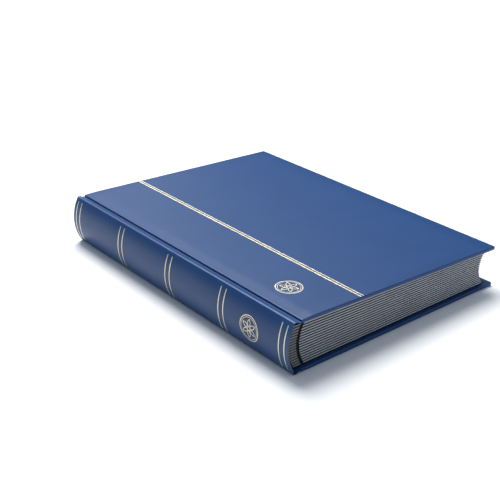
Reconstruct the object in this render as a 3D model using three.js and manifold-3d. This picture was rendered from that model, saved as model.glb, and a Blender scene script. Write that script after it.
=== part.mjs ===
// A closed hardcover stamp stock book: two cloth-hinged boards, a rounded spine and
// sixteen black card leaves on guards. +Y runs along the spine from tail to head,
// +X from the spine to the fore-edge, +Z up through the closed book. Millimetres.
import * as THREE from "three";
import { mergeVertices } from "three/addons/utils/BufferGeometryUtils.js";
import Module from "manifold-3d";

const wasm = await Module();
wasm.setup();

// Driving dimensions of the closed book.
const WIDTH = 228.6;
const HEIGHT = 304.8;
const THICKNESS = 44.45;
const SLOPE = THREE.MathUtils.degToRad(2); // the front cover falls towards the fore-edge
const LEAVES = 16;
const GAP = 0.2; // clear space between neighbouring pieces

// Covers.
const BOARD = 2.0;
const LEATHERETTE = 0.4;
const PASTEDOWN = 0.25;
const TURN_IN = 15;
const PASTEDOWN_MARGIN = 4;
const BOARD_LEFT = -101.3; // spine-side edge of both covers
const COVER_RIGHT = WIDTH / 2;
const COVER = 2 * LEATHERETTE + 2 * GAP + BOARD;

// Spine.
const SPINE_LEFT = -WIDTH / 2;
const SPINE_BULGE = 6;
const SPINE_SHEET = 0.5;
const SPINE_END_GAP = 0.3; // between the spine's leatherette and a cover's edge
const SPINE_CARD = 0.9;
const SPINE_CARD_DEPTH = 2.2; // how far the card stops short of the book's faces
const SPINE_CARD_MARGIN = 1; // and of the head and tail
const LINING_GAP = 0.3; // the spine is hollow here, so that it can bow away from the block
const BACK_LINING = 0.5;
const BACK_LINING_DEPTH = 4.5;
const BACK_LINING_MARGIN = 2;
const SHOULDER_INSET = 0.5;
const GROOVE_FLOOR = 1.5; // depth of the groove below the cover's face
const GROOVE_LEFT = -104.6;
const SHOULDER_RIGHT = -105.7;
const ARC_STEPS = 14;

// Text block.
const SQUARE = 3; // how far the boards stand out past the leaves at head and tail
const FLYLEAF = 0.25;
const GUARD = 1.35;
const GUARD_WIDTH = 7.4;
const LINEN = 0.4;
const LINEN_WIDTH = 2.8; // from a guard to its card
const LINEN_GAP = 0.3; // the part of that width left open beside the guard
const CARD = 1.1;
const CARD_WIDTH = 200.6;
const INTERLEAF = 0.1;
const INTERLEAF_LIFT = 0.25; // clear space between a card and the tissue on it
const INTERLEAF_MARGIN = 1;
const BLOCK_ROUND = 5.5; // the leaves' back edges bow out by this at mid-thickness
const BLOCK_GAP = 0.6; // between the back lining and the nearest guard
const CARD_INSET = SPINE_SHEET + GAP;
const LINING_INSET = CARD_INSET + SPINE_CARD + LINING_GAP;
const BLOCK_BACK = SPINE_LEFT + LINING_INSET + BACK_LINING + BLOCK_GAP;
const BLOCK_FLOOR = COVER + GAP + PASTEDOWN + GAP;
const BLOCK_THICKNESS = THICKNESS - 2 * BLOCK_FLOOR;
const BLOCK_LENGTH = HEIGHT - 2 * SQUARE;
const FLYLEAF_RIGHT = 106;
const FLYLEAF_LEFT = -100;
const FLYLEAF_SHARE = 0.02; // of the block's thickness, kept for each flyleaf
const HALF = THICKNESS / 2;

const paint = (color, roughness, metalness = 0) =>
  new THREE.MeshStandardMaterial({ color, roughness, metalness });
const blue = paint(0x2c4f8a, 0.42);
const greyBoard = paint(0x8f8a80, 0.9);
const blackPaper = paint(0x24252a, 0.85);
const blackCard = paint(0x2b2c30, 0.8);
const guardCard = paint(0x77797c, 0.85);
const tissue = paint(0xd9dbd6, 0.5);
const lining = paint(0x3c3d40, 0.95);

const book = new THREE.Group();

function addMesh(name, geometry, material, parent = book) {
  const mesh = new THREE.Mesh(geometry, material);
  mesh.name = name;
  parent.add(mesh);
  return mesh;
}

// A solid of constant section: the outline is a list of [x, z], extruded along Y.
function bar(outline, length) {
  const shape = new THREE.Shape(outline.map(([x, z]) => new THREE.Vector2(x, z)));
  const geometry = new THREE.ExtrudeGeometry(shape, { depth: length, bevelEnabled: false });
  geometry.rotateX(Math.PI / 2);
  geometry.translate(0, length / 2, 0);
  return geometry;
}

function block(x0, x1, y0, y1, z0, z1) {
  const geometry = new THREE.BoxGeometry(x1 - x0, y1 - y0, z1 - z0);
  geometry.translate((x0 + x1) / 2, (y0 + y1) / 2, (z0 + z1) / 2);
  return geometry;
}

function solid(geometry) {
  geometry.deleteAttribute("normal");
  geometry.deleteAttribute("uv");
  const merged = mergeVertices(geometry);
  return new wasm.Manifold(
    new wasm.Mesh({
      numProp: 3,
      vertProperties: new Float32Array(merged.attributes.position.array),
      triVerts: new Uint32Array(merged.index.array),
    }),
  );
}

function geometryOf(manifold) {
  const mesh = manifold.getMesh();
  const geometry = new THREE.BufferGeometry();
  geometry.setAttribute("position", new THREE.BufferAttribute(mesh.vertProperties, 3));
  geometry.setIndex(new THREE.BufferAttribute(mesh.triVerts, 1));
  geometry.computeVertexNormals();
  return geometry;
}

// One cover lying flat with its outer face at z = 0 and its inner face above it.
// The leatherette wraps the board and turns in over its inner edges, where a
// window between the turn-ins is closed by the pastedown.
function coverPieces(side, parent) {
  const x0 = BOARD_LEFT;
  const x1 = COVER_RIGHT;
  const half = HEIGHT / 2;
  const skin = LEATHERETTE + GAP;
  const shell = solid(block(x0, x1, -half, half, 0, COVER));
  const cavity = solid(
    block(x0 + skin, x1 - skin, -half + skin, half - skin, LEATHERETTE, COVER - LEATHERETTE),
  );
  const opening = solid(
    block(x0 + TURN_IN, x1 - TURN_IN, -half + TURN_IN, half - TURN_IN, BOARD, COVER + 1),
  );
  addMesh(side + "_leatherette", geometryOf(shell.subtract(cavity).subtract(opening)), blue, parent);
  const inset = skin + GAP;
  addMesh(
    side + "_board",
    block(x0 + inset, x1 - inset, -half + inset, half - inset, skin, skin + BOARD),
    greyBoard,
    parent,
  );
  const margin = PASTEDOWN_MARGIN;
  const paperFloor = COVER + GAP;
  addMesh(
    side + "_pastedown",
    block(x0 + margin, x1 - margin, -half + margin, half - margin, paperFloor, paperFloor + PASTEDOWN),
    blackPaper,
    parent,
  );
}

// The back cover lies on the table. The front cover is the same cover turned over
// about its spine-side edge, with its face falling towards the fore-edge.
function covers() {
  const back = new THREE.Group();
  coverPieces("back", back);
  const front = new THREE.Group();
  const turned = new THREE.Group();
  turned.rotation.x = Math.PI;
  turned.position.x = -BOARD_LEFT;
  coverPieces("front", turned);
  front.add(turned);
  front.position.set(BOARD_LEFT, 0, THICKNESS);
  front.rotation.y = SLOPE;
  book.add(back, front);
}

// The rounded part of the spine, from its front end down to its back one: an arc
// of the spine's own radius, moved inwards by an inset and cut off at two heights.
function spineArc(inset, endDepth) {
  const rise = HALF - SHOULDER_INSET;
  const radius = (rise * rise + SPINE_BULGE * SPINE_BULGE) / (2 * SPINE_BULGE);
  const centreX = SPINE_LEFT + radius;
  const r = radius - inset;
  const sweep = Math.asin((HALF - endDepth) / r);
  return Array.from({ length: ARC_STEPS + 1 }, (_, i) => {
    const angle = sweep * (1 - (2 * i) / ARC_STEPS);
    return [centreX - r * Math.cos(angle), HALF + r * Math.sin(angle)];
  });
}

function mirrored(points) {
  return points.map(([x, z]) => [x, THICKNESS - z]).reverse();
}

// The leatherette over the spine: groove, shoulder strip, arc, shoulder strip, groove.
function spineLeatherette() {
  const end = BOARD_LEFT - SPINE_END_GAP;
  const top = THICKNESS - SHOULDER_INSET;
  const floor = THICKNESS - GROOVE_FLOOR;
  const t = SPINE_SHEET;
  const outerLead = [[end, floor], [GROOVE_LEFT, floor], [SHOULDER_RIGHT, top]];
  const innerLead = [[end, floor - t], [GROOVE_LEFT - t / 2, floor - t], [SHOULDER_RIGHT - t / 2, top - t]];
  const outer = [...outerLead, ...spineArc(0, SHOULDER_INSET), ...mirrored(outerLead)];
  const inner = [...innerLead, ...spineArc(t, SHOULDER_INSET + t), ...mirrored(innerLead)];
  addMesh("spine_leatherette", bar([...outer, ...inner.reverse()], HEIGHT), blue);
}

// A curved strip inside the spine's leatherette, between two insets from its face.
function curvedStrip(name, nearInset, thickness, endDepth, length, material) {
  const outer = spineArc(nearInset, endDepth);
  const inner = spineArc(nearInset + thickness, endDepth);
  addMesh(name, bar([...outer, ...inner.reverse()], length), material);
}

function spine() {
  spineLeatherette();
  const cardLength = HEIGHT - 2 * SPINE_CARD_MARGIN;
  const liningLength = BLOCK_LENGTH - 2 * BACK_LINING_MARGIN;
  curvedStrip("spine_liner", CARD_INSET, SPINE_CARD, SPINE_CARD_DEPTH, cardLength, greyBoard);
  curvedStrip("back_lining", LINING_INSET, BACK_LINING, BACK_LINING_DEPTH, liningLength, lining);
}

// Height in the closed block at share t of its thickness, where the block is
// thinner towards the fore-edge by the slope of the front cover.
function levelAt(x, t) {
  const drop = Math.tan(SLOPE) * (x - BOARD_LEFT);
  return BLOCK_FLOOR + t * (BLOCK_THICKNESS - drop);
}

// How far a leaf sits towards the fore-edge: the back of the block is rounded.
function roundingAt(t) {
  const fromMiddle = 2 * t - 1;
  return BLOCK_ROUND * fromMiddle * fromMiddle;
}

function slab(x0, x1, t, lift, thickness) {
  const low = lift - thickness / 2;
  const high = lift + thickness / 2;
  return [
    [x0, levelAt(x0, t) + low],
    [x1, levelAt(x1, t) + low],
    [x1, levelAt(x1, t) + high],
    [x0, levelAt(x0, t) + high],
  ];
}

// One leaf: its guard in the back, and a card with the linen tongue it hinges on.
function leaf(index) {
  const t = FLYLEAF_SHARE + ((1 - 2 * FLYLEAF_SHARE) * (index + 0.5)) / LEAVES;
  const suffix = String(index + 1).padStart(2, "0");
  const guardLeft = BLOCK_BACK + roundingAt(t);
  const guardRight = guardLeft + GUARD_WIDTH;
  const tongueLeft = guardRight + LINEN_GAP;
  const cardLeft = guardRight + LINEN_WIDTH;
  const cardRight = cardLeft + CARD_WIDTH;
  addMesh("guard_" + suffix, bar(slab(guardLeft, guardRight, t, 0, GUARD), BLOCK_LENGTH), guardCard);
  const tongue = slab(tongueLeft, cardLeft, t, 0, LINEN);
  const card = slab(cardLeft, cardRight, t, 0, CARD);
  const outline = [tongue[0], tongue[1], ...card, tongue[2], tongue[3]];
  addMesh("leaf_" + suffix, bar(outline, BLOCK_LENGTH), blackCard);
  const lift = CARD / 2 + INTERLEAF_LIFT;
  const margin = INTERLEAF_MARGIN;
  const sheet = slab(cardLeft + margin, cardRight - margin, t, lift, INTERLEAF);
  addMesh("interleaf_" + suffix, bar(sheet, BLOCK_LENGTH - 2 * margin), tissue);
}

function flyleaf(name, t, lift) {
  addMesh(name, bar(slab(FLYLEAF_LEFT, FLYLEAF_RIGHT, t, lift, FLYLEAF), BLOCK_LENGTH), blackPaper);
}

covers();
spine();
flyleaf("back_flyleaf", 0, FLYLEAF / 2);
for (let index = 0; index < LEAVES; index++) leaf(index);
flyleaf("front_flyleaf", 1, -FLYLEAF / 2);

export default book;
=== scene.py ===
"""A closed hardcover stamp stock book: blue grained leatherette, gold lines, black pocket leaves."""

import math

import bmesh
import bpy
from mathutils import Matrix, Vector

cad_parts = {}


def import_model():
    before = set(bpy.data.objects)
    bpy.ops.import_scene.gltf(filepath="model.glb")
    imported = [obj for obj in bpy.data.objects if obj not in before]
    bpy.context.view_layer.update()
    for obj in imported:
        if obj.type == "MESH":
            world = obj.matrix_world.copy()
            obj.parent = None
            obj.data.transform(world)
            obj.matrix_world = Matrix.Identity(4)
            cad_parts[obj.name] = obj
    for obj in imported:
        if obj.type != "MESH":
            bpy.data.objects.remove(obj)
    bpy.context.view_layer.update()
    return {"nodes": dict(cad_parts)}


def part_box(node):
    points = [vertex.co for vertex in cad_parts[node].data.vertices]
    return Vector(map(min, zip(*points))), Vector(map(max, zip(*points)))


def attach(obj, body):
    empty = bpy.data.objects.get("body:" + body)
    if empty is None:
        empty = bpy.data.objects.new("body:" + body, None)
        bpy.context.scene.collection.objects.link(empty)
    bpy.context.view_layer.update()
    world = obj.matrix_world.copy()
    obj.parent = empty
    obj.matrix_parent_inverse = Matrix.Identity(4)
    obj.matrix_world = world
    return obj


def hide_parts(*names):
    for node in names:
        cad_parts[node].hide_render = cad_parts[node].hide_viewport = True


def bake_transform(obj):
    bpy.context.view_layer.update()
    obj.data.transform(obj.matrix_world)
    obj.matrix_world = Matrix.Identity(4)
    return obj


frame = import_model()

MM = 0.001

# Sizes taken from the frame.
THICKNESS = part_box("front_leatherette")[1].z
BACK_LOW, BACK_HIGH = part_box("back_leatherette")
SPINE_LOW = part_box("spine_leatherette")[0]
LINER_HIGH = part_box("spine_liner")[1]
LINING_LOW, LINING_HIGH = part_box("back_lining")
HALF_LENGTH = BACK_HIGH.y
BOARD_LEFT = BACK_LOW.x
BOARD_WIDTH = BACK_HIGH.x - BACK_LOW.x
COVER = BACK_HIGH.z
MIDDLE = THICKNESS / 2
SLOPE = math.radians(2)
LEAVES = sum(name.startswith("leaf_") for name in frame["nodes"])

# Shape details of the covers and the spine.
EDGE_ROUND = 0.7 * MM
EASE_WIDTH = 13 * MM  # the cloth eases down towards the joint over this width
EASE_DEPTH = 0.45 * MM
CLOTH = 0.45 * MM
GROOVE_DEPTH = 1.9 * MM
GROOVE_LEFT = BOARD_LEFT - 2.4 * MM
SHOULDER_DEPTH = 0.5 * MM
SHOULDER_RIGHT = BOARD_LEFT - 4.1 * MM
SHOULDER_LEFT = BOARD_LEFT - 7.0 * MM
SPINE_BULGE = 6 * MM
LINER = 0.9 * MM
LINER_GAP = 0.25 * MM  # between the spine's cloth and its card
LINING = 0.5 * MM
SPINE_TUCK = 0.3 * MM  # the spine's cloth is let into each cover's edge by this much
GROOVE_FLAT = 0.6 * MM  # flat floor of the groove beside a cover
SHOULDER_FALL = 0.05 * MM  # the shoulder strip is this much lower on its groove side
SPINE_CORNER = 0.9 * MM  # height left at each end of the arc for the turn into the shoulder

# Foil.
FOIL = 0.05 * MM
FOIL_LIFT = 0.02 * MM
COVER_LINE_X = 60.8 * MM  # from the board's spine-side edge
COVER_LINES = (  # place across the pair, and width
    (-1.35 * MM, 1.2 * MM),
    (1.25 * MM, 0.9 * MM),
)
BAND_STEP = 72.4 * MM
BAND_GAP = 3.1 * MM  # from a band's middle to each of its two lines
BAND_WIDTH = 0.95 * MM
BAND_REACH = 19.3 * MM  # along the arc, up and down from mid-thickness
ORNAMENT_RADIUS = 10.6 * MM
ORNAMENT_Y = -107.5 * MM
ORNAMENT_X = 26.5 * MM  # on the cover, from the board's spine-side edge
SPINE_ORNAMENT_DROP = 0.5 * MM  # on the spine, below mid-thickness
ORNAMENT_LINE = 0.65 * MM
PETALS = 6
BANDS = 5
COVER_LINE_MARGIN = 0.6 * MM

# Pockets.
POCKETS = 9
POCKET_PITCH = 32.6 * MM
POCKET_HEIGHT = 27 * MM
POCKET_START = 1.5 * MM  # from the foot of a pocket's share of the leaf to its weld
POCKET_SIDE = 3 * MM
FILM = 0.05 * MM
FILM_LIFT = 0.03 * MM
WELD = 1.2 * MM
WELD_FILM = 1.4 * FILM
WELD_GAP = 0.1 * MM

# Leaves, as shares of a leaf's own width and length.
LINEN_SHARE = 0.0124  # the linen tongue on the spine side
END_SHARE = 0.4998  # past this distance from mid-length is a cut end
FORE_SHARE = 0.9997  # past this share of the width is the cut fore-edge


# ---------------------------------------------------------------- materials

def new_material(name):
    material = bpy.data.materials.new(name)
    material.use_nodes = True
    nodes = material.node_tree.nodes
    return material, nodes, material.node_tree.links, nodes["Principled BSDF"]


def add_node(nodes, kind, **values):
    node = nodes.new(kind)
    for key, value in values.items():
        if hasattr(node, key):
            setattr(node, key, value)
        else:
            node.inputs[key.replace("_", " ")].default_value = value
    return node


def noise(nodes, links, coordinates, scale, detail=3.0, roughness=0.55):
    texture = add_node(nodes, "ShaderNodeTexNoise", Scale=scale, Detail=detail, Roughness=roughness)
    links.new(coordinates, texture.inputs["Vector"])
    return texture.outputs["Fac"]


def ramp(nodes, links, factor, stops):
    node = nodes.new("ShaderNodeValToRGB")
    elements = node.color_ramp.elements
    while len(elements) < len(stops):
        elements.new(0.5)
    for element, (place, color) in zip(elements, stops):
        element.position = place
        element.color = (*color, 1)
    links.new(factor, node.inputs["Fac"])
    return node.outputs["Color"]


def bump(nodes, links, height, strength, distance, below=None):
    node = add_node(nodes, "ShaderNodeBump", Strength=strength, Distance=distance)
    links.new(height, node.inputs["Height"])
    if below is not None:
        links.new(below, node.inputs["Normal"])
    return node.outputs["Normal"]


def leatherette():
    material, nodes, links, shader = new_material("blue_leatherette")
    place = nodes.new("ShaderNodeTexCoord").outputs["Object"]
    cells = add_node(nodes, "ShaderNodeTexVoronoi", Scale=1500.0)
    links.new(place, cells.inputs["Vector"])
    broad = noise(nodes, links, place, 28.0)
    fine = noise(nodes, links, place, 900.0, 4.0)
    color = ramp(nodes, links, broad, [(0.3, (0.0045, 0.045, 0.160)), (0.7, (0.0055, 0.050, 0.176))])
    worn = ramp(
        nodes, links, nodes.new("ShaderNodeNewGeometry").outputs["Pointiness"],
        [(0.53, (0, 0, 0)), (0.66, (1, 1, 1))],
    )
    mix = add_node(nodes, "ShaderNodeMix", data_type="RGBA")
    mix.inputs[7].default_value = (0.020, 0.085, 0.235, 1)
    links.new(worn, mix.inputs["Factor"])
    links.new(color, mix.inputs[6])
    links.new(mix.outputs[2], shader.inputs["Base Color"])
    rough = add_node(nodes, "ShaderNodeMapRange", To_Min=0.33, To_Max=0.43)
    links.new(fine, rough.inputs["Value"])
    links.new(rough.outputs["Result"], shader.inputs["Roughness"])
    soft = bump(nodes, links, broad, 0.10, 1.2 * MM)
    grain = bump(nodes, links, cells.outputs["Distance"], 0.10, 0.12 * MM, soft)
    links.new(bump(nodes, links, fine, 0.10, 0.10 * MM, grain), shader.inputs["Normal"])
    shader.inputs["IOR"].default_value = 1.5
    shader.inputs["Specular IOR Level"].default_value = 0.37
    return material


def gold_foil():
    material, nodes, links, shader = new_material("gold_foil")
    place = nodes.new("ShaderNodeTexCoord").outputs["Object"]
    patches = noise(nodes, links, place, 240.0, 4.0)
    color = ramp(nodes, links, patches, [(0.3, (0.82, 0.72, 0.42)), (0.7, (0.94, 0.88, 0.62))])
    links.new(color, shader.inputs["Base Color"])
    rough = add_node(nodes, "ShaderNodeMapRange", To_Min=0.28, To_Max=0.5)
    links.new(patches, rough.inputs["Value"])
    links.new(rough.outputs["Result"], shader.inputs["Roughness"])
    links.new(bump(nodes, links, patches, 0.2, 0.05 * MM), shader.inputs["Normal"])
    shader.inputs["Metallic"].default_value = 0.75
    return material


def card_with_edges(name, face, edge, roughness, linen_share=-1.0):
    """Card whose printed or dyed faces are darker than its cut edges at head, tail and fore-edge."""
    material, nodes, links, shader = new_material(name)
    coordinates = nodes.new("ShaderNodeTexCoord")
    fibres = noise(nodes, links, coordinates.outputs["Object"], 700.0, 5.0)
    face_color = ramp(nodes, links, fibres, [(0.3, tuple(0.8 * c for c in face)), (0.7, face)])
    edge_color = ramp(nodes, links, fibres, [(0.3, tuple(0.72 * c for c in edge)), (0.7, edge)])
    parts = nodes.new("ShaderNodeSeparateXYZ")
    links.new(coordinates.outputs["Generated"], parts.inputs["Vector"])
    centred = add_node(nodes, "ShaderNodeMath", operation="SUBTRACT")
    centred.inputs[1].default_value = 0.5
    links.new(parts.outputs["Y"], centred.inputs[0])
    distance = add_node(nodes, "ShaderNodeMath", operation="ABSOLUTE")
    links.new(centred.outputs[0], distance.inputs[0])
    at_end = add_node(nodes, "ShaderNodeMath", operation="GREATER_THAN")
    at_end.inputs[1].default_value = END_SHARE
    links.new(distance.outputs[0], at_end.inputs[0])
    at_fore = add_node(nodes, "ShaderNodeMath", operation="GREATER_THAN")
    at_fore.inputs[1].default_value = FORE_SHARE
    links.new(parts.outputs["X"], at_fore.inputs[0])
    either = add_node(nodes, "ShaderNodeMath", operation="MAXIMUM")
    links.new(at_end.outputs[0], either.inputs[0])
    links.new(at_fore.outputs[0], either.inputs[1])
    past_linen = add_node(nodes, "ShaderNodeMath", operation="GREATER_THAN")
    past_linen.inputs[1].default_value = linen_share
    links.new(parts.outputs["X"], past_linen.inputs[0])
    on_edge = add_node(nodes, "ShaderNodeMath", operation="MULTIPLY")
    links.new(either.outputs[0], on_edge.inputs[0])
    links.new(past_linen.outputs[0], on_edge.inputs[1])
    mix = add_node(nodes, "ShaderNodeMix", data_type="RGBA")
    links.new(on_edge.outputs[0], mix.inputs["Factor"])
    links.new(face_color, mix.inputs[6])
    links.new(edge_color, mix.inputs[7])
    links.new(mix.outputs[2], shader.inputs["Base Color"])
    links.new(bump(nodes, links, fibres, 0.25, 0.08 * MM), shader.inputs["Normal"])
    shader.inputs["Roughness"].default_value = roughness
    return material


def paper(name, dark, light, roughness, alpha=1.0):
    material, nodes, links, shader = new_material(name)
    place = nodes.new("ShaderNodeTexCoord").outputs["Object"]
    fibres = noise(nodes, links, place, 420.0, 6.0)
    clouds = noise(nodes, links, place, 60.0)
    links.new(ramp(nodes, links, fibres, [(0.3, dark), (0.7, light)]), shader.inputs["Base Color"])
    soft = bump(nodes, links, clouds, 0.15, 0.6 * MM)
    links.new(bump(nodes, links, fibres, 0.2, 0.06 * MM, soft), shader.inputs["Normal"])
    shader.inputs["Roughness"].default_value = roughness
    shader.inputs["Alpha"].default_value = alpha
    return material


def clear_film(name, color, alpha, roughness):
    material, nodes, links, shader = new_material(name)
    place = nodes.new("ShaderNodeTexCoord").outputs["Object"]
    ripple = noise(nodes, links, place, 35.0, 2.0)
    links.new(ramp(nodes, links, ripple, [(0.2, color), (0.8, color)]), shader.inputs["Base Color"])
    links.new(bump(nodes, links, ripple, 0.3, 0.6 * MM), shader.inputs["Normal"])
    shader.inputs["Roughness"].default_value = roughness
    shader.inputs["Alpha"].default_value = alpha
    return material


BLUE = leatherette()
GOLD = gold_foil()
LEAF_CARD = card_with_edges("leaf_card", (0.014, 0.014, 0.016), (0.49, 0.51, 0.54), 0.75, LINEN_SHARE)
GUARD_CARD = card_with_edges("guard_card", (0.07, 0.07, 0.07), (0.24, 0.24, 0.24), 0.85)
ENDPAPER = paper("black_endpaper", (0.012, 0.012, 0.014), (0.022, 0.022, 0.025), 0.8)
LINING_CLOTH = paper("back_lining_cloth", (0.03, 0.03, 0.03), (0.07, 0.07, 0.07), 0.95)
GREY_BOARD = paper("grey_board", (0.20, 0.19, 0.17), (0.30, 0.28, 0.25), 0.9)
GLASSINE = paper("glassine", (0.62, 0.63, 0.60), (0.80, 0.81, 0.78), 0.4, 0.5)
POCKET_FILM = clear_film("pocket_film", (0.70, 0.73, 0.76), 0.16, 0.12)
POCKET_WELD = clear_film("pocket_weld", (0.45, 0.47, 0.50), 0.5, 0.3)


# ---------------------------------------------------------------- mesh helpers

def add_object(name, bm, materials, smooth=True):
    bmesh.ops.recalc_face_normals(bm, faces=bm.faces)
    mesh = bpy.data.meshes.new(name)
    bm.to_mesh(mesh)
    bm.free()
    for material in materials:
        mesh.materials.append(material)
    obj = bpy.data.objects.new(name, mesh)
    bpy.context.scene.collection.objects.link(obj)
    if smooth:
        mesh.shade_smooth()
        mesh.set_sharp_from_angle(angle=math.radians(40))
    return obj


def extruded(outline, y0, y1, steps=1):
    """A closed bar: the outline is a list of (x, z) and runs from y0 to y1."""
    bm = bmesh.new()
    rows = []
    for step in range(steps + 1):
        y = y0 + (y1 - y0) * step / steps
        rows.append([bm.verts.new((x, y, z)) for x, z in outline])
    count = len(outline)
    for low, high in zip(rows, rows[1:]):
        for i in range(count):
            j = (i + 1) % count
            bm.faces.new((low[i], low[j], high[j], high[i]))
    for row in (rows[0], rows[-1]):
        half = count // 2
        for i in range(half - 1):
            bm.faces.new((row[i], row[i + 1], row[count - 2 - i], row[count - 1 - i]))
    return bm


def rounded(points, rounds):
    """Chaikin's corner cutting, which keeps the two end points."""
    for _ in range(rounds):
        cut = [points[0]]
        for (ax, az), (bx, bz) in zip(points, points[1:]):
            cut.append((0.75 * ax + 0.25 * bx, 0.75 * az + 0.25 * bz))
            cut.append((0.25 * ax + 0.75 * bx, 0.25 * az + 0.75 * bz))
        cut.append(points[-1])
        points = cut
    return points


def normals(points):
    found = []
    for i in range(len(points)):
        ax, az = points[max(i - 1, 0)]
        bx, bz = points[min(i + 1, len(points) - 1)]
        length = math.hypot(bx - ax, bz - az)
        found.append(((bz - az) / length, (ax - bx) / length))
    return found


def offset_line(points, distance):
    """The line moved towards the inside of the spine."""
    return [(x - nx * distance, z - nz * distance) for (x, z), (nx, nz) in zip(points, normals(points))]


def bend_with_covers(obj):
    """Bakes the piece's placement into its mesh."""
    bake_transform(obj)


# ---------------------------------------------------------------- covers

def ease(x):
    """How far the cloth lies below the board's flat face near the joint."""
    share = min(max(x / EASE_WIDTH, 0), 1)
    return EASE_DEPTH * (1 - share * share * (3 - 2 * share))


# Millimetres across a cover, close together where its cloth eases down.
COVER_STATIONS = (0, 1.6, 3, 5, 7, 9, 11, 13, 15, 40, 90, 150, 200)


def cover_mesh():
    """A cover lying face up: its face is at z = 0 and its spine-side edge at x = 0."""
    xs = [s * MM for s in COVER_STATIONS] + [BOARD_WIDTH]
    top = [(x, -ease(x)) for x in xs]
    bottom = [(x, -COVER) for x in reversed(xs)]
    bm = extruded(top + bottom, -HALF_LENGTH, HALF_LENGTH, 24)
    bmesh.ops.recalc_face_normals(bm, faces=bm.faces)
    sharp = [e for e in bm.edges if len(e.link_faces) == 2 and e.calc_face_angle() > math.radians(60)]
    bmesh.ops.bevel(
        bm, geom=sharp, offset=EDGE_ROUND, segments=4, profile=0.5, affect="EDGES", clamp_overlap=True,
    )
    return bm


def cover(side, place):
    bm = cover_mesh()
    bm.transform(place)
    obj = add_object(side + "_cover_cloth", bm, [BLUE])
    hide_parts(side + "_leatherette", side + "_board")
    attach(obj, side + "_cover")


FRONT_PLACE = Matrix.Translation((BOARD_LEFT, 0, THICKNESS)) @ Matrix.Rotation(SLOPE, 4, "Y")
BACK_PLACE = Matrix.Translation((BOARD_LEFT, 0, 0)) @ Matrix.Diagonal((1, 1, -1, 1))


# ---------------------------------------------------------------- spine

SPINE_RISE = MIDDLE - SHOULDER_DEPTH
SPINE_RADIUS = (SPINE_RISE ** 2 + SPINE_BULGE ** 2) / (2 * SPINE_BULGE)
SPINE_CENTRE = SPINE_LOW.x + SPINE_RADIUS


def spine_arc(inset, reach, steps=20):
    """Points down the rounded spine, from above the middle to below it."""
    r = SPINE_RADIUS - inset
    sweep = math.asin(reach / r)
    angles = [sweep * (1 - 2 * i / steps) for i in range(steps + 1)]
    return [(SPINE_CENTRE - r * math.cos(a), MIDDLE + r * math.sin(a)) for a in angles]


def below(x, depth):
    return (x, THICKNESS - depth)


def spine_line():
    """The outside of the spine's cloth, from the front cover's edge round to the back cover's."""
    lead = [
        below(BOARD_LEFT + SPINE_TUCK, GROOVE_DEPTH + SPINE_TUCK),
        below(BOARD_LEFT - GROOVE_FLAT, GROOVE_DEPTH),
        below(GROOVE_LEFT, GROOVE_DEPTH),
        below(SHOULDER_RIGHT, SHOULDER_DEPTH + SHOULDER_FALL),
        below(SHOULDER_LEFT, SHOULDER_DEPTH),
    ]
    arc = spine_arc(0, MIDDLE - SHOULDER_DEPTH - SPINE_CORNER)
    tail = [(x, THICKNESS - z) for x, z in reversed(lead)]
    return rounded(lead + arc + tail, 2)


def spine_strip(name, line, thickness, half, material, node):
    inner = offset_line(line, thickness)
    bm = extruded(line + inner[::-1], -half, half, 12)
    obj = add_object(name, bm, [material])
    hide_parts(node)
    bend_with_covers(obj)


def spine():
    spine_strip("spine_cloth", spine_line(), CLOTH, HALF_LENGTH, BLUE, "spine_leatherette")
    liner = spine_arc(CLOTH + LINER_GAP, LINER_HIGH.z - MIDDLE)
    spine_strip("spine_card", liner, LINER, LINER_HIGH.y, GREY_BOARD, "spine_liner")
    lining = spine_arc(LINING_LOW.x - SPINE_LOW.x, LINING_HIGH.z - MIDDLE)
    spine_strip("back_mull", lining, LINING, LINING_HIGH.y, LINING_CLOTH, "back_lining")


# ---------------------------------------------------------------- foil

def stroke(bm, line, width, place):
    """A thin flat line on a surface: place maps (u, v, height) to a point in the row frame."""
    last = len(line) - 1
    closed = line[0] == line[-1]
    left = []
    right = []
    for i, (u, v) in enumerate(line):
        before = line[max(i - 1, 0)]
        after = line[min(i + 1, last)]
        if closed and i == 0:
            before = line[-2]
        if closed and i == last:
            after = line[1]
        du, dv = after[0] - before[0], after[1] - before[1]
        length = math.hypot(du, dv)
        nu, nv = -dv / length * width / 2, du / length * width / 2
        left.append((u + nu, v + nv))
        right.append((u - nu, v - nv))
    rings = []
    for a, b in zip(left, right):
        corners = [(*a, FOIL_LIFT), (*b, FOIL_LIFT), (*b, FOIL_LIFT + FOIL), (*a, FOIL_LIFT + FOIL)]
        rings.append([bm.verts.new(place(*corner)) for corner in corners])
    if closed:
        for vert in rings[-1]:
            bm.verts.remove(vert)
        rings[-1] = rings[0]
    for one, two in zip(rings, rings[1:]):
        for i in range(4):
            j = (i + 1) % 4
            bm.faces.new((one[i], one[j], two[j], two[i]))
    if not closed:
        bm.faces.new(rings[0])
        bm.faces.new(rings[-1][::-1])


def on_cover(u, v, height):
    """u runs across the front cover from its spine-side edge, v along the spine."""
    return FRONT_PLACE @ Vector((u, v, height - ease(u)))


def on_spine(u, v, height):
    """u runs down the spine's arc from its middle, v along the spine."""
    angle = -u / SPINE_RADIUS
    r = SPINE_RADIUS + height
    return Vector((SPINE_CENTRE - r * math.cos(angle), v, MIDDLE + r * math.sin(angle)))


def circle(radius, steps=48):
    angles = [2 * math.pi * i / steps for i in range(steps)]
    points = [(radius * math.cos(a), radius * math.sin(a)) for a in angles]
    return points + points[:1]


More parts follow.
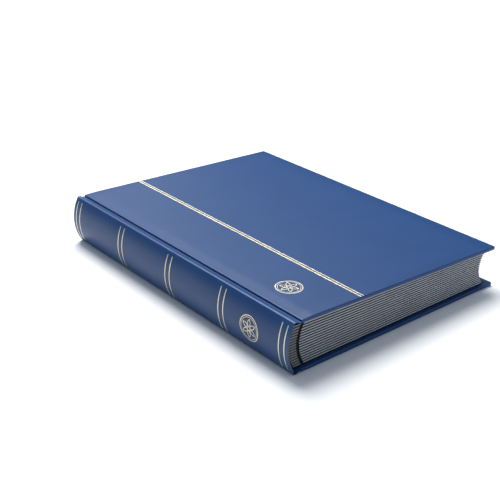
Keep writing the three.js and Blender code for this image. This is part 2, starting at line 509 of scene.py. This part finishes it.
def petal(radius, turn, spread=0.2, steps=12):
    """A pointed leaf shape from the middle out to the radius."""
    out = []
    for side in (1, -1):
        span = range(steps + 1) if side == 1 else range(steps - 1, 0, -1)
        for i in span:
            share = i / steps
            width = side * spread * math.sin(math.pi * share) * radius
            along = 0.16 * radius + 0.84 * radius * share
            u = along * math.cos(turn) - width * math.sin(turn)
            v = along * math.sin(turn) + width * math.cos(turn)
            out.append((u, v))
    return out + out[:1]


def ornament(name, place, centre_u, centre_v, body):
    """A plain rosette in two rings. It rides on the body, or has its placement baked into its mesh if
    there is none.
    """
    bm = bmesh.new()

    def shifted(u, v, height):
        return place(centre_u + u, centre_v + v, height)

    stroke(bm, circle(ORNAMENT_RADIUS), ORNAMENT_LINE, shifted)
    stroke(bm, circle(0.86 * ORNAMENT_RADIUS), 0.5 * ORNAMENT_LINE, shifted)
    for k in range(PETALS):
        turn = 2 * math.pi * k / PETALS
        stroke(bm, petal(0.74 * ORNAMENT_RADIUS, turn), 0.8 * ORNAMENT_LINE, shifted)
    obj = add_object(name, bm, [GOLD], smooth=False)
    if body:
        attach(obj, body)
    else:
        bend_with_covers(obj)


def straight(u0, v0, u1, v1, steps):
    return [(u0 + (u1 - u0) * i / steps, v0 + (v1 - v0) * i / steps) for i in range(steps + 1)]


def foil():
    bm = bmesh.new()
    end = HALF_LENGTH - COVER_LINE_MARGIN
    for shift, width in COVER_LINES:
        u = COVER_LINE_X + shift
        stroke(bm, straight(u, -end, u, end, 24), width, on_cover)
    lines = add_object("cover_gold_lines", bm, [GOLD], smooth=False)
    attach(lines, "front_cover")
    for band in range(BANDS):
        bm = bmesh.new()
        for side in (-1, 1):
            v = (band - (BANDS - 1) / 2) * BAND_STEP + side * BAND_GAP
            stroke(bm, straight(-BAND_REACH, v, BAND_REACH, v, 40), BAND_WIDTH, on_spine)
        bands = add_object(f"spine_gold_band_{band + 1}", bm, [GOLD], smooth=False)
        bend_with_covers(bands)
    ornament("cover_ornament", on_cover, ORNAMENT_X, ORNAMENT_Y, "front_cover")
    ornament("spine_ornament", on_spine, SPINE_ORNAMENT_DROP, ORNAMENT_Y, None)


# ---------------------------------------------------------------- leaves

def card_corners(node):
    """The card's left and right edges and its top and bottom levels there."""
    points = [vert.co for vert in frame["nodes"][node].data.vertices]
    right = max(p.x for p in points)
    inner = [p.x for p in points if p.x < right - MM]
    left = max(inner)
    at_left = [p.z for p in points if abs(p.x - left) < 0.01 * MM]
    at_right = [p.z for p in points if abs(p.x - right) < 0.01 * MM]
    return left, right, (max(at_left), max(at_right)), (min(at_left), min(at_right))


def film_bar(bm, x0, x1, y0, y1, level, side, thickness, material_index):
    """A thin strip of film on one face of a leaf; level gives the face's height at x."""
    near = FILM_LIFT * side
    far = (FILM_LIFT + thickness) * side
    corners = [(x0, y0), (x1, y0), (x1, y1), (x0, y1)]
    low = [bm.verts.new((x, y, level(x) + near)) for x, y in corners]
    high = [bm.verts.new((x, y, level(x) + far)) for x, y in corners]
    faces = [bm.faces.new(low), bm.faces.new(high)]
    for i in range(4):
        j = (i + 1) % 4
        faces.append(bm.faces.new((low[i], low[j], high[j], high[i])))
    for face in faces:
        face.material_index = material_index


def pockets(number):
    """Nine clear strips on each side of a leaf, each welded to it along its bottom edge."""
    left, right, top, bottom = card_corners(f"leaf_{number:02d}")
    bm = bmesh.new()
    for side, ends in ((1, top), (-1, bottom)):
        def level(x, ends=ends):
            return ends[0] + (ends[1] - ends[0]) * (x - left) / (right - left)

        for row in range(POCKETS):
            foot = (row - POCKETS / 2) * POCKET_PITCH + POCKET_START
            x0 = left + POCKET_SIDE
            x1 = right - POCKET_SIDE
            film_bar(bm, x0, x1, foot + WELD + WELD_GAP, foot + POCKET_HEIGHT, level, side, FILM, 0)
            film_bar(bm, x0, x1, foot, foot + WELD, level, side, WELD_FILM, 1)
    obj = add_object(f"pockets_{number:02d}", bm, [POCKET_FILM, POCKET_WELD], smooth=False)
    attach(obj, f"page_{number:02d}")


def give(node, material):
    data = frame["nodes"][node].data
    data.materials.clear()
    data.materials.append(material)


def leaves():
    for number in range(1, LEAVES + 1):
        give(f"leaf_{number:02d}", LEAF_CARD)
        give(f"guard_{number:02d}", GUARD_CARD)
        give(f"interleaf_{number:02d}", GLASSINE)
        pockets(number)
    for side in ("front", "back"):
        give(side + "_pastedown", ENDPAPER)
        give(side + "_flyleaf", ENDPAPER)


# ---------------------------------------------------------------- stage

def area_light(name, place, target, size, power, color=(1, 1, 1)):
    data = bpy.data.lights.new(name, "AREA")
    data.shape = "RECTANGLE"
    data.size, data.size_y = size
    data.energy = power
    data.color = color
    light = bpy.data.objects.new(name, data)
    light.location = place
    light.rotation_euler = (Vector(target) - Vector(place)).to_track_quat("-Z", "Y").to_euler()
    bpy.context.scene.collection.objects.link(light)


FLOOR_HALF = 6.0
FLOOR_DROP = 0.1 * MM
WHITE_FROM = 0.45  # the floor fades to the white backdrop between these distances
WHITE_TO = 1.3


def floor_material():
    material, nodes, links, shader = new_material("pale_floor")
    shader.inputs["Base Color"].default_value = (0.9, 0.9, 0.9, 1)
    shader.inputs["Roughness"].default_value = 0.6
    shader.inputs["Specular IOR Level"].default_value = 0.2
    away = add_node(nodes, "ShaderNodeVectorMath", operation="LENGTH")
    links.new(nodes.new("ShaderNodeTexCoord").outputs["Object"], away.inputs[0])
    far = add_node(nodes, "ShaderNodeMapRange", interpolation_type="SMOOTHSTEP")
    far.inputs["From Min"].default_value = WHITE_FROM
    far.inputs["From Max"].default_value = WHITE_TO
    links.new(away.outputs["Value"], far.inputs["Value"])
    seen = add_node(nodes, "ShaderNodeMath", operation="MULTIPLY")
    links.new(far.outputs["Result"], seen.inputs[0])
    links.new(nodes.new("ShaderNodeLightPath").outputs["Is Camera Ray"], seen.inputs[1])
    links.new(seen.outputs[0], shader.inputs["Emission Strength"])
    shader.inputs["Emission Color"].default_value = (1, 1, 1, 1)
    return material


def stage():
    bm = bmesh.new()
    bmesh.ops.create_grid(bm, x_segments=1, y_segments=1, size=FLOOR_HALF)
    floor = add_object("floor", bm, [floor_material()], smooth=False)
    floor.location.z = -FLOOR_DROP


SKY = [  # height of a direction above the horizon, and the light from there
    (0.0, (0.03, 0.05, 0.08)),
    (0.25, (0.08, 0.12, 0.18)),
    (0.5, (0.30, 0.36, 0.44)),
    (1.0, (0.40, 0.44, 0.50)),
]


def world():
    """A dim bluish sky for the light, seen by the camera as a white backdrop."""
    data = bpy.data.worlds.new("studio")
    bpy.context.scene.world = data
    data.use_nodes = True
    nodes, links = data.node_tree.nodes, data.node_tree.links
    background = nodes["Background"]
    direction = nodes.new("ShaderNodeTexCoord").outputs["Generated"]
    parts = nodes.new("ShaderNodeSeparateXYZ")
    links.new(direction, parts.inputs["Vector"])
    sky = ramp(nodes, links, parts.outputs["Z"], SKY)
    path = nodes.new("ShaderNodeLightPath")
    mix = add_node(nodes, "ShaderNodeMix", data_type="RGBA")
    links.new(path.outputs["Is Camera Ray"], mix.inputs["Factor"])
    links.new(sky, mix.inputs[6])
    mix.inputs[7].default_value = (1, 1, 1, 1)
    links.new(mix.outputs[2], background.inputs["Color"])


def lights():
    area_light("key_softbox", (0.4, 0.95, 1.8), (0, 0, 0), (1.1, 1.1), 58, (1.0, 0.99, 0.97))
    area_light("far_reflector", (0.2, 2.3, 1.0), (0, 0, 0), (2.6, 1.3), 8)


# Camera, aimed at a point inside the book.
CAMERA_TARGET = Vector((-28.9 * MM, -2.6 * MM, 22 * MM))
CAMERA_AZIMUTH = math.radians(-38.51)
CAMERA_ELEVATION = math.radians(25.59)
CAMERA_DISTANCE = 0.8667
CAMERA_ROLL = math.radians(0.5)
CAMERA_LENS = 71.87  # on a 36 mm sensor


def camera():
    data = bpy.data.cameras.new("camera")
    data.lens = CAMERA_LENS
    data.sensor_width = 36
    obj = bpy.data.objects.new("camera", data)
    away = Vector((
        math.sin(CAMERA_AZIMUTH) * math.cos(CAMERA_ELEVATION),
        -math.cos(CAMERA_AZIMUTH) * math.cos(CAMERA_ELEVATION),
        math.sin(CAMERA_ELEVATION),
    ))
    look = (-away).to_track_quat("-Z", "Y").to_matrix().to_4x4()
    roll = Matrix.Rotation(-CAMERA_ROLL, 4, "Z")
    obj.matrix_world = Matrix.Translation(CAMERA_TARGET + away * CAMERA_DISTANCE) @ look @ roll
    bpy.context.scene.collection.objects.link(obj)
    bpy.context.scene.camera = obj


camera()
cover("front", FRONT_PLACE)
cover("back", BACK_PLACE)
spine()
foil()
leaves()
stage()
world()
lights()
bpy.context.scene.view_settings.view_transform = "Standard"
